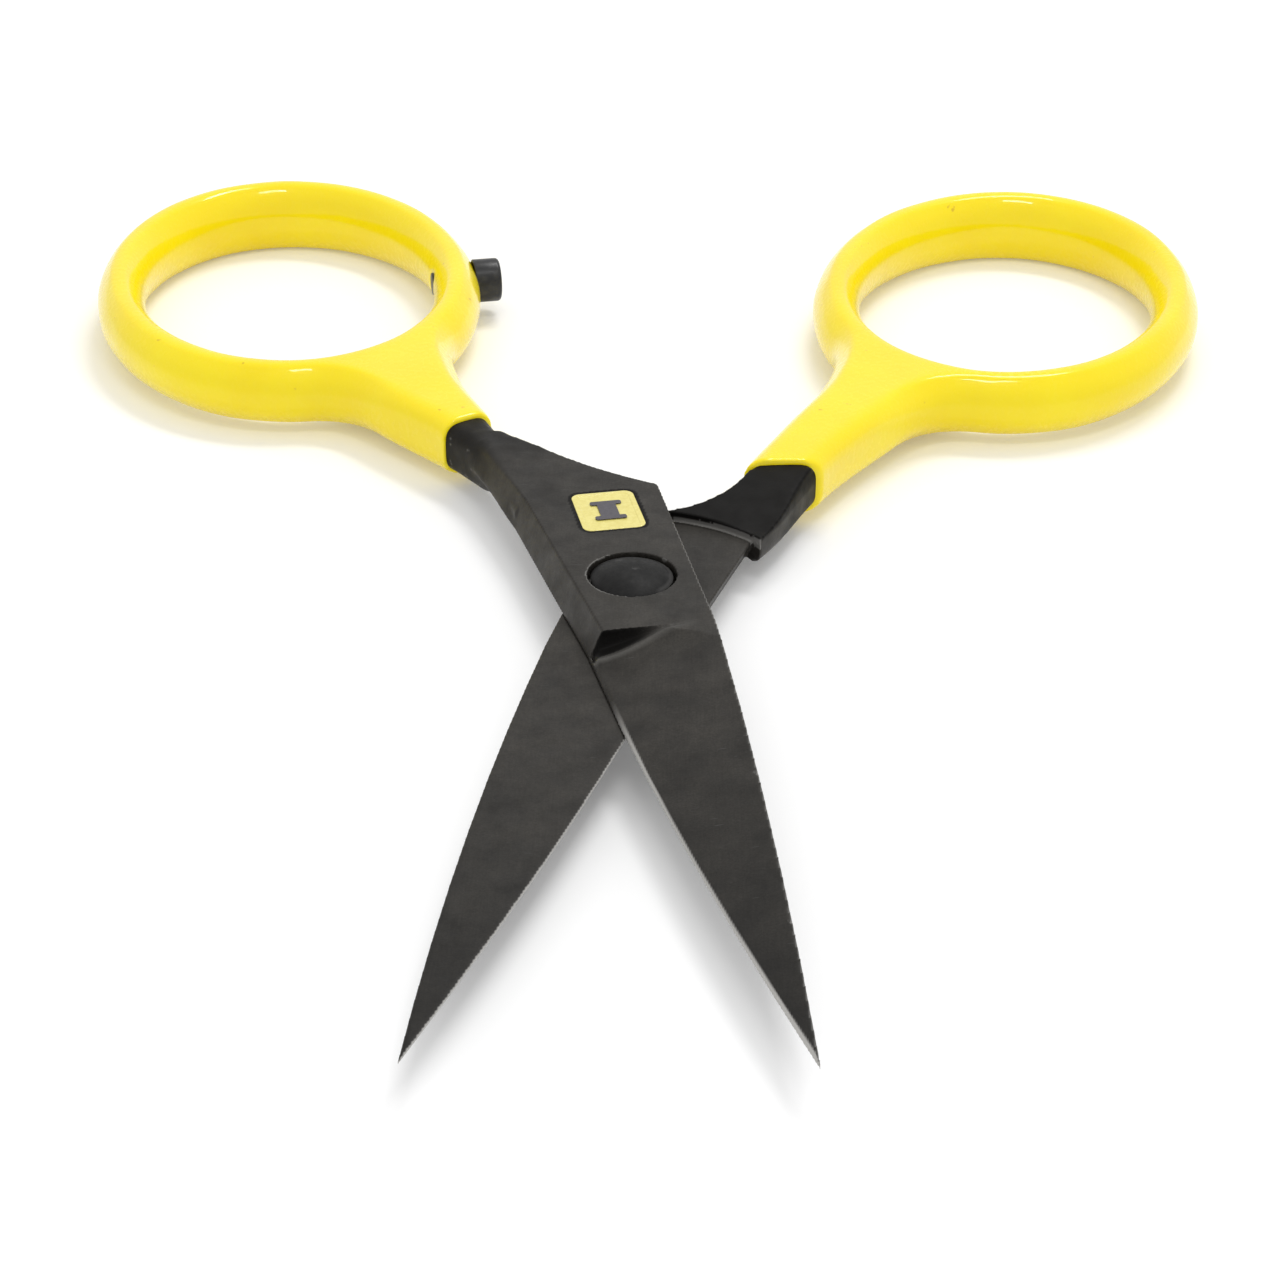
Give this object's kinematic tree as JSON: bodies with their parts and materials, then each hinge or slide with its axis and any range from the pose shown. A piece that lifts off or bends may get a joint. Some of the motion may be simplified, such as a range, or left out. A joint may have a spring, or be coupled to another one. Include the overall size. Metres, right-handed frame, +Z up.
{
  "type": "thread snips",
  "caption": "Small two-ring thread scissors with dark steel blades, a keyed pivot, yellow dip-coated finger rings and a rubber stop.",
  "frame": {"origin": "on the pivot axis, at the centre of the tension screw's flat back face, which lies in the resting plane", "axes": "+Z up along the pivot axis, -Y towards the blade tips on the centreline of the open snips, +Y towards the finger rings"},
  "size_m": [0.083, 0.1074, 0.0056],
  "materials": {
    "dark_steel": "satin dark oxide over forged steel, bright along the ground edges",
    "yellow_coating": "glossy dipped vinyl, slightly wavy",
    "badge_enamel": "smooth pale yellow enamel",
    "mark_enamel": "dark printed enamel",
    "washer_steel": "plain bright steel",
    "pivot_black": "satin black oxide",
    "black_rubber": "matt black rubber"
  },
  "bodies": {
    "lower_half": {"lower_blade": "dark_steel", "lower_grip": "yellow_coating", "pivot_stud": "pivot_black", "spring_washer": "washer_steel"},
    "upper_half": {"upper_blade": "dark_steel", "upper_grip": "yellow_coating", "bumper": "black_rubber", "badge_inlay": "badge_enamel", "badge_mark": "mark_enamel", "thrust_washer": "washer_steel"},
    "tension_screw": {"tension_screw": "pivot_black"}
  },
  "joints": [
    {"name": "pivot", "type": "hinge", "parent": "lower_half", "child": "upper_half", "pos_m": [0, 0, 0.0028], "axis": [0, 0, 1], "range_deg": [-27.8, 40]},
    {"name": "tension_adjust", "type": "hinge", "parent": "lower_half", "child": "tension_screw", "pos_m": [0, 0, 0.001], "axis": [0, 0, 1], "range_deg": [-90, 90]}
  ]
}
